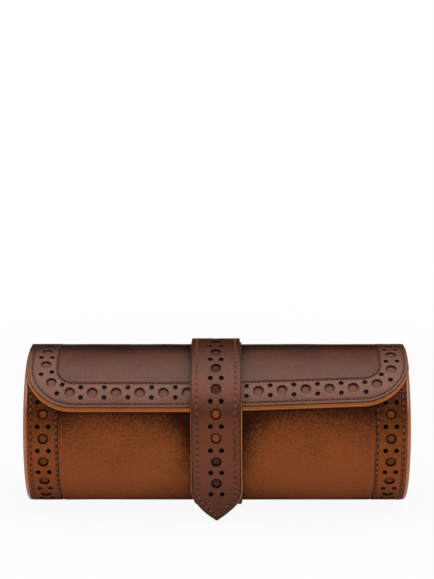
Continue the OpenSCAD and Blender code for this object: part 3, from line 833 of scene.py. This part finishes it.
# strap: pointed front, and back that returns under the case
strap = {
    "liningT": .7, "coreT": .8, "topT": 1.2, "gap": .05, "underCoreT": 1.1, "domeRise": .85, "dishDeep": .5,
    "dishFrom": 66, "tipToHole": 21.67, "holePitch": 12.4, "pointLong": 17, "pointCurve": 2.1, "narrow": .035,
    "tailAngle": 29.2, "tailR": 41.3, "tailLeave": -5, "tailStraight": 37.04, "bendOne": (30, 7), "bendTwo": 25,
    "tailShift": .45, "liningShift": .2, "liningWider": .6, "wrapShift": 1.5, "wrapTrim": 1.9, "wrapFirst": 9,
    "climb": (193.2, 215), "stitchIn": 2.7, "stitch": 3.3, "threadWide": .68, "threadRise": .2, "threadSunk": .14,
    "crossStitch": 2.2, "tipBurnish": .66, "topBurnish": .62, "bendBurnish": .5, "edgeBurnish": .2,
}


def strapTipOutline(length, half):
    # pointed free end at v = 0, its sides swelling to the full width
    t = np.linspace(0, strap["pointLong"], 18)[1:]
    wide = half * (1 - (1 - t / strap["pointLong"]) ** strap["pointCurve"])
    line = [(.45, .12)] + np.stack([wide, t], 1).tolist() + [(half, length - .6), (half - .6, length)]
    left = [(-u, v) for u, v in line[::-1]]
    return evenly(np.array(line + left), 1.1, True)


strapIn = strapR - strap["liningT"] - strap["coreT"] - strap["topT"] - 2 * strap["gap"]
touch = strap["tailAngle"] - math.degrees(math.acos(strap["tailR"] / strapIn))


def strapBend():
    # where the strap leaves the flap, so that it lies on the case below the flap's edge
    r1, s1 = strap["bendOne"]
    r2, end = strap["bendTwo"], math.radians(touch)

    def miss(start):
        mid = start - s1 / r1
        return (strapIn * math.cos(start - end) + r1 * (math.cos(mid - end) - math.cos(start - end))
                + r2 * (1 - math.cos(mid - end)) - strap["tailR"])

    low, high = math.radians(30), math.radians(60)
    for _ in range(50):
        middle = (low + high) / 2
        low, high = (middle, high) if miss(middle) > 0 else (low, middle)
    return low


bendStart = strapBend()
points = [polar(strapIn, a) for a in np.arange(lay["strapBackEnd"], math.degrees(bendStart), -.4)]
here, angle = polar(strapIn, math.degrees(bendStart)), bendStart
r1, s1 = strap["bendOne"]
for r, stop in ((r1, bendStart - s1 / r1), (strap["bendTwo"], math.radians(touch))):
    for a in np.linspace(angle, stop, 24)[:-1]:
        points.append(here + r * (polar(1, math.degrees(a)) - polar(1, math.degrees(angle))))
    here = here + r * (polar(1, math.degrees(stop)) - polar(1, math.degrees(angle)))
    angle = stop
points.append(here)
onCircle = polar(strap["tailR"], touch)
if (here - onCircle)[1] > .02:
    points.append(onCircle)
for a in np.arange(touch - .4, strap["tailLeave"], -.4).tolist() + [strap["tailLeave"]]:
    points.append(polar(strap["tailR"], a))
last = math.radians(strap["tailLeave"])
points += [polar(strap["tailR"], strap["tailLeave"]) + np.array([-math.sin(last), -math.cos(last)]) * t
           for t in np.linspace(1, strap["tailStraight"], 30)]
frontCourse = Course(points)
tipS = frontCourse.length
frontLong = tipS - strapIn * math.radians(lay["strapBackEnd"] - lay["strapBackSeam"])
print("  strap bend starts at", round(math.degrees(bendStart), 1), "length from the seam", round(frontLong, 1))


def strapShift(u, v):
    # the tail hangs a little to the right
    return strapX + strap["tailShift"] * (1 - smooth(v, 0, 55))


def onStrap(lift):
    return laid(frontCourse, lift, tipS, -1, None, strapShift)


coreLift = strap["liningT"] + strap["gap"]
topLift = coreLift + strap["coreT"] + strap["gap"]
bigV = np.arange(strap["tipToHole"], frontLong - 5, strap["holePitch"])
strapBig = [(0, v, case["holeR"]) for v in bigV]
pipV = np.arange(strap["tipToHole"] - strap["holePitch"] / 2, frontLong - 3, strap["holePitch"])
strapPips = [pip for v in pipV for pip in pipPair(0, v)]


# darker towards the tip and along the edges; painted shade over the strap's top, and where it bends off the flap's
# edge in place of sheen
def strapShadeAndBurnish(u, v, reach):
    return (strap["tipBurnish"] * (1 - smooth(v, 2, 34)) + strap["topBurnish"] * smooth(v, 60, 94)
            + strap["bendBurnish"] * np.exp(-((v - 61) / 7) ** 2)
            + strap["edgeBurnish"] * (1 - smooth(reach, .5, 2.5)))


def strapLine(outline, d, long):
    # the sewing line of a strap with a point at v = 0
    row = inset(outline, d, True)
    right = row[(row[:, 0] > .25) & (row[:, 1] < long - 1.2)]
    right = right[np.argsort(right[:, 1])]
    right = right[np.hypot(right[:, 0], right[:, 1]) > 2]
    left = right[::-1] * (-1, 1)
    return evenly(np.vstack([left, right])[::-1], 1.)


frontLoop = strapTipOutline(frontLong, strapHalf)
frontLoop[:, 0] *= 1 - strap["narrow"] * (1 - smooth(frontLoop[:, 1], 50, 70))
frontLine = strapLine(frontLoop, strap["stitchIn"], frontLong)
strapFront = cutLeather("strapFront", frontLoop, onStrap(topLift), strap["topT"], finishes["strap"],
                        holes=strapBig + strapPips, seams=[frontLine], step=1.6, edge=.45, stain=strapShadeAndBurnish,
                        groove=.16, waves=.08, seed=31)


def coreStain(u, v, reach):
    dished = v > strap["dishFrom"]
    return np.where(dished, 1, .85 * (1 - smooth(v, 36, 45))) * (1 - .8 * dished * dishStain(u, v, strapBig, .9, 1.9))


strapCore = cutLeather("strapCore", strapTipOutline(tipS - .1, strapHalf - .05), onStrap(coreLift), strap["coreT"],
                       finishes["strapDome"],
                       domes=[(u, v, r - .12, strap["domeRise"]) if v < strap["dishFrom"] else
                              (u, v, r + .05, -strap["dishDeep"]) for u, v, r in strapBig],
                       sinks=sinksFor(strapPips), step=4, edge=.2, waves=0, holeShadeAndBurn=1, stain=coreStain)
liningLoop = strapTipOutline(tipS - .1, strapHalf + strap["liningWider"]) - (0, .25)
strapLining = cutLeather("strapLining", liningLoop,
                         laid(frontCourse, 0, tipS, -1, None, lambda u, v: strapShift(u, v) + strap["liningShift"]),
                         strap["liningT"], finishes["edge"], step=3, edge=.33, waves=0,
                         stain=lambda u, v, reach: .9 * smooth(v, 52, 72))
magnetLow, magnetHigh = boxOf("strap_magnet")
magnetV = (magnetLow[2] + magnetHigh[2]) / 2 - boxOf("strap_tail")[0][2]
magnetR = (magnetHigh[0] - magnetLow[0]) / 2
magnetDisc = cutLeather("magnetDisc", circleOf(40) * magnetR + (0, magnetV), onStrap(.2), .35, finishes["steel"],
                        edge=.12, waves=0)


def sewStrap(name, lines, place):
    return sew(name, [(line, place, strap["topT"] - strap["threadSunk"], strap["stitch"]) for line in lines],
               finishes["brownThread"], strap["threadWide"], strap["threadRise"])


strapThread = sewStrap("strapThread", [frontLine], onStrap(topLift))

wrap = np.append(np.arange(lay["underEnd"], lay["strapBackSeam"] - 360 + .01, -.4), lay["strapBackSeam"] - 360)
underR = caseR + strap["gap"]
wrapIn = underR + strap["underCoreT"] + strap["gap"]


def wrapR(angles):
    # the return climbs from the case on to the flap's back
    return wrapIn + (strapR - strap["topT"] - wrapIn) * smooth(-angles, *strap["climb"])


backTop = Course(polar(wrapR(wrap), wrap))
wrapCore = wrap[wrap >= lay["strapBackEnd"] - 360]
backCore = Course(polar(wrapR(wrapCore) - strap["underCoreT"] - strap["gap"], wrapCore))


def wrapShift(u, v):
    # the return under the case lies a little to the right of the tail's tip
    return strapX + strap["wrapShift"] * (1 - smooth(v, 0, 80))


def wrapTrim(v):
    # the return is cut in on its left near its end
    return strap["wrapTrim"] * (1 - smooth(v, 22, 50))


def wrapOutline(half, long):
    loop = box(-half, half, 0, long)
    loop[:, 0] += np.where(loop[:, 0] < 0, wrapTrim(loop[:, 1]), 0)
    return loop


def toCore(spots):
    # the same places on the core, which is shorter because it lies further in
    return np.interp(np.interp(spots, backTop.s, -wrap), -wrapCore, backCore.s)


onWrap = laid(backTop, 0, 0, 1, None, wrapShift)
wrapLong, coreLong = backTop.length, backCore.length
topSpots = np.arange(strap["wrapFirst"], wrapLong - 6, strap["holePitch"])
topSpots = topSpots[toCore(topSpots) < coreLong - 4]
pipSpots = np.arange(strap["wrapFirst"] + strap["holePitch"] / 2, wrapLong - 5, strap["holePitch"])
topPips = [pip for v in pipSpots if v < topSpots[-1] + 8 for pip in pipPair(0, v)]
corePips = [pip for v in toCore(pipSpots) if v < coreLong - 4 for pip in pipPair(0, v)]
wrapLines, stitchU, endV = [], strapHalf - strap["stitchIn"], wrapLong - strap["crossStitch"]
for e in (-1, 1):
    v = np.linspace(1.6, endV - .2, 60)
    wrapLines.append(np.stack([e * stitchU + (e < 0) * wrapTrim(v), v], 1))
wrapLines.append(np.array([(2 - stitchU, endV), (stitchU - 2, endV)]))
strapBack = cutLeather("strapBack", wrapOutline(strapHalf, wrapLong), onWrap, strap["topT"], finishes["strap"],
                       holes=[(0, v, case["holeR"]) for v in topSpots] + topPips, seams=wrapLines, step=1.9,
                       edge=.45, stain=.5, groove=.16, seed=37)
strapBackCore = cutLeather("strapBackCore", wrapOutline(strapHalf - .05, coreLong - .05),
                           laid(backCore, 0, 0, 1, None, wrapShift), strap["underCoreT"], finishes["tanDome"],
                           domes=[(0, v, case["holeR"] - .12, strap["domeRise"] - .05) for v in toCore(topSpots)],
                           sinks=sinksFor(corePips), step=4, edge=.25, waves=0, holeShadeAndBurn=1)
strapBackThread = sewStrap("strapBackThread", wrapLines, onWrap)
print("strap cut and sewn")


# watch cushions
cushion = {
    "voxel": 5, "pressure": 4., "frames": 20, "cap": 5., "fill": .85, "startShare": .95, "cornerR": 7,
    "seamX": 24, "seamDeep": .8, "stitch": 3.4, "threadWide": .5,
}


def plumpCushion(word):
    low, high = boxOf("cushion_cover_" + word)
    middle = (low + high) / 2
    long, r = (high[0] - low[0]) / 2, (high[1] - low[1]) / 2
    end, top, corner = -long * cushion["startShare"], r * cushion["startShare"], cushion["cornerR"]
    profile = [(end, 2), (end, 9), (end, 17)]
    profile += [(end + corner * (1 - math.cos(a)), top - corner + corner * math.sin(a))
                for a in np.radians(np.arange(0, 91, 10))]
    profile += [(-14, top), (0, top)]
    profile += [(-x, q) for x, q in profile[:-1][::-1]]
    piece = turned("cushion" + word.capitalize(), profile, finishes["cushion"], False, 48)
    piece.data.transform(Matrix.Translation((middle - (0, 0, axisZ)) / 1000))
    remesh = piece.modifiers.new("remesh", "REMESH")
    remesh.mode, remesh.voxel_size = "VOXEL", cushion["voxel"] / 1000
    settle(piece)
    start = np.array([v.co for v in piece.data.vertices])
    cloth = piece.modifiers.new("plump", "CLOTH")
    cloth.settings.use_pressure = True
    cloth.settings.uniform_pressure_force = cushion["pressure"]
    cloth.settings.effector_weights.gravity = 0
    for i in range(1, cushion["frames"] + 1):
        bpy.context.scene.frame_set(i)
    settle(piece)
    bpy.context.scene.frame_set(1)
    moved = np.array([v.co for v in piece.data.vertices]) - start
    far = np.linalg.norm(moved, axis=1)
    scale = np.minimum(1, cushion["cap"] / 1000 / np.maximum(far, 1e-9))
    setPoints(piece, start + moved * scale[:, None])
    finer = piece.modifiers.new("finer", "SUBSURF")
    finer.levels = finer.render_levels = 2
    settle(piece)
    p = np.array([v.co for v in piece.data.vertices]) * 1000 - middle
    away = np.hypot(p[:, 1], p[:, 2])
    # sewn seams between the wrap and the two ends, then held inside the space of its cover
    seam = cushion["seamDeep"] * np.exp(-((np.abs(p[:, 0]) - cushion["seamX"]) / 1.1) ** 2) * smooth(away, 15, 22)
    most = np.minimum(away - seam, r - .15 - seam)
    p[:, 1:] *= (most / np.maximum(away, 1e-6))[:, None]
    p[:, 0] = np.clip(p[:, 0], -long + .2, long - .2)
    setPoints(piece, (p + middle) / 1000)
    piece.data.shade_smooth()
    piece.data.materials.clear()
    piece.data.materials.append(finishes["cushion"])
    near = p[np.abs(np.abs(p[:, 0]) - cushion["seamX"]) < 1.2]
    seamR = np.hypot(near[:, 1], near[:, 2]).mean()

    def onCushion(u, v, h):
        q = seamR + h
        return np.stack([middle[0] + v, middle[1] - q * np.cos(u / seamR), middle[2] + q * np.sin(u / seamR)], -1)

    rings = [np.array([(0, v), (seamR * 2 * math.pi, v)]) for v in (-cushion["seamX"], cushion["seamX"])]
    thread = sew("cushionThread" + word.capitalize(), [(ring, onCushion, 0, cushion["stitch"]) for ring in rings],
                 finishes["thread"], cushion["threadWide"])
    return piece, thread


def settle(piece):
    # makes the modifiers' result the piece's own mesh
    bpy.context.view_layer.update()
    ready = piece.evaluated_get(bpy.context.evaluated_depsgraph_get())
    mesh = bpy.data.meshes.new_from_object(ready)
    piece.modifiers.clear()
    piece.data = mesh


def setPoints(piece, points):
    piece.data.vertices.foreach_set("co", np.asarray(points, np.float32).ravel())
    piece.data.update()


cushions = {word: plumpCushion(word) for word in ("left", "middle", "right")}
print("cushions filled")


# what each piece rides on, and which nodes it stands for
bends = {                     # where a soft leather would start and stop turning with the next body: (y, z) from the axis; worked into hinge, strapHinge and tail below, which are not used further
    "flapFrom": (35, 16.5), "flapTo": (35, 24), "strapFrom": (38, 14.5), "strapTo": (38, 30),
    "tailSlope": 27, "tailReach": 5,
}


def spot(y, z):
    return (0, y / 1000, (axisZ + z) / 1000)


def carry(piece, body=None, nodes=()):
    if body:
        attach(piece, body)
    else:
        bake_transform(piece)
    if nodes:
        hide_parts(*nodes)


carry(caseLeather, "case", nodes=["case_panel"])
carry(caseUnderlay, "case", nodes=["case_underlay"])
for i, word in enumerate(("left", "right")):
    carry(sideBands[i], "case", nodes=["side_band_" + word])
    carry(rims[i], "case", nodes=["rim_" + word])
    carry(endLeathers[i], "case", nodes=["end_panel_" + word])
    carry(bandThreads[i], "case")
    carry(endThreads[i], "case")
    carry(endEdges[i], "case")
carry(flapBorder, "flap", nodes=["flap_border"])
carry(flapPanel, "flap", nodes=["flap_panel"])
carry(flapUnderlay, "flap", nodes=["flap_underlay"])
carry(flapLining, "flap", nodes=["flap_lining"])
carry(flapThread, "flap")
hinge = ("case", "flap", spot(*bends["flapFrom"]), spot(*bends["flapTo"]))
carry(flapBack, nodes=["flap_hinge"])
carry(backThread)
strapHinge = ("case", "flap", spot(*bends["strapFrom"]), spot(*bends["strapTo"]))
carry(strapBack, nodes=["under_strap", "strap_hinge"])
carry(strapBackCore, nodes=["under_strap_core"])
carry(strapBackThread)
pivot = np.array(joints["strap_tail_peel"]["pos_m"])[1:] * 1000 - (0, axisZ)
slope = math.radians(bends["tailSlope"])
down = np.array([-math.sin(slope), -math.cos(slope)]) * bends["tailReach"]
tail = ("flap", "strap_tail", spot(*(pivot - down)), spot(*(pivot + down)))
carry(strapFront, nodes=["strap_upper", "strap_tail"])
carry(strapCore, nodes=["strap_upper_core", "strap_tail_core"])
carry(strapLining, nodes=["strap_upper_lining", "strap_tail_lining"])
carry(strapThread)
carry(magnetDisc, "strap_tail", nodes=["strap_magnet"])
for word, (piece, thread) in cushions.items():
    carry(piece, "cushion_" + word, nodes=["cushion_cover_" + word, "cushion_core_" + word])
    carry(thread, "cushion_" + word)

carriedOver = {
    "board": ("case_board", "end_board_left", "end_board_right", "divider_board_left", "divider_board_right"),
    "suede": ("case_lining", "end_lining_left", "end_lining_right", "divider_cover_left", "divider_cover_right"),
    "binding": ("lip_binding",), "steel": ("strap_keeper",),
}
for finish, nodes in carriedOver.items():
    for node in nodes:
        for place in frame["nodes"][node].material_slots:
            place.material = finishes[finish]
print("pieces carried")


# floor, light and camera
studio = {                    # in metres; a card is its place in y, its foot and its top
    "level": .25, "floorTone": (.86, .86, .86, 1), "floorShow": .93, "floorFade": (.15, .6), "floorWide": 12,
    "overhead": {"place": (0, -.36, 1.1), "target": (0, -.36, 0), "wide": 1.9, "high": 1.52, "power": 14.6},
    "front": {"place": (0, -1.5, .55), "target": (0, 0, axisZ / 1000), "wide": 1.8, "high": 1.1, "power": 5.6},
    "backCard": (1.5, .02, 2.15), "frontCard": (-2.1, .02, 2.), "cardHalf": 2.2,
}


def floorFinish():
    f = newFinish("paleFloor")
    path = f.add("ShaderNodeLightPath", None, None, "Is Camera Ray")
    place = f.add("ShaderNodeTexCoord", None, None, "Object")
    away = f.add("ShaderNodeVectorMath", {"operation": "LENGTH"}, {0: place}, "Value").ramp(*studio["floorFade"])
    plain = f.add("ShaderNodeBsdfDiffuse", None, {"Color": studio["floorTone"]})
    white = f.add("ShaderNodeEmission", None, {"Color": (1, 1, 1, 1), "Strength": 1.})
    share = path * (away * (1 - studio["floorShow"]) + studio["floorShow"])
    return f.surface(f.add("ShaderNodeMixShader", None, {0: share, 1: plain, 2: white}))


bpy.ops.mesh.primitive_plane_add(size=studio["floorWide"])
floor = bpy.context.object
floor.name = "paleFloor"
floor.data.materials.append(floorFinish())

world = bpy.data.worlds.new("studio")
bpy.context.scene.world = world
air = Finish(world)
direct, gloss, through = (air.add("ShaderNodeLightPath", None, None, f"Is {kind} Ray")
                          for kind in ("Camera", "Glossy", "Transmission"))
strength = air.add("ShaderNodeMapRange", None, {"Value": direct.most(gloss).most(through), "To Min": studio["level"]})
air.surface(air.add("ShaderNodeBackground", None, {"Color": (1, 1, 1, 1), "Strength": strength}), "World")


def softbox(name, place, target, wide, high, power, glossy=True):
    lamp = bpy.data.lights.new(name, "AREA")
    lamp.shape, lamp.size, lamp.size_y, lamp.energy = "RECTANGLE", wide, high, power
    piece = bpy.data.objects.new(name, lamp)
    bpy.context.scene.collection.objects.link(piece)
    piece.location = place
    piece.rotation_euler = (Vector(target) - Vector(place)).to_track_quat("-Z", "Y").to_euler()
    piece.visible_glossy = glossy


softbox("overheadSoftbox", **studio["overhead"])
softbox("frontSoftbox", **studio["front"], glossy=False)
blackCard = newFinish("blackCard").show(Base_Color=dye(4, 4, 4), Roughness=1., Specular_IOR_Level=0.)


def darkCard(name, y, low, high):
    # a black card that only the leather's gloss sees, so that white walls don't veil its colour
    wide = studio["cardHalf"]
    card = makeMesh(name, np.array([(-wide, y, low), (wide, y, low), (wide, y, high), (-wide, y, high)]) * 1000,
                    [(0, 1, 2, 3)], {}, [blackCard])
    card.visible_camera = card.visible_diffuse = card.visible_shadow = card.visible_transmission = False


for name in ("backCard", "frontCard"):
    darkCard(name, *studio[name])

sight = {"elevation": 18, "distance": 1.0717, "pixels": 1960, "photoHigh": 579, "drop": 134.5}
camera = bpy.data.cameras.new("camera")
camera.sensor_width = 36
camera.lens = 36 * sight["pixels"] / sight["photoHigh"]
camera.clip_end = 50
eye = bpy.data.objects.new("camera", camera)
bpy.context.scene.collection.objects.link(eye)
up = math.radians(sight["elevation"])
eye.location = (0, -sight["distance"] * math.cos(up), axisZ / 1000 + sight["distance"] * math.sin(up))
eye.rotation_euler = (math.pi / 2 - up + math.atan(sight["drop"] / sight["pixels"]), 0, 0)
bpy.context.scene.camera = eye
bpy.context.scene.view_settings.view_transform = "Standard"
print("studio lit")
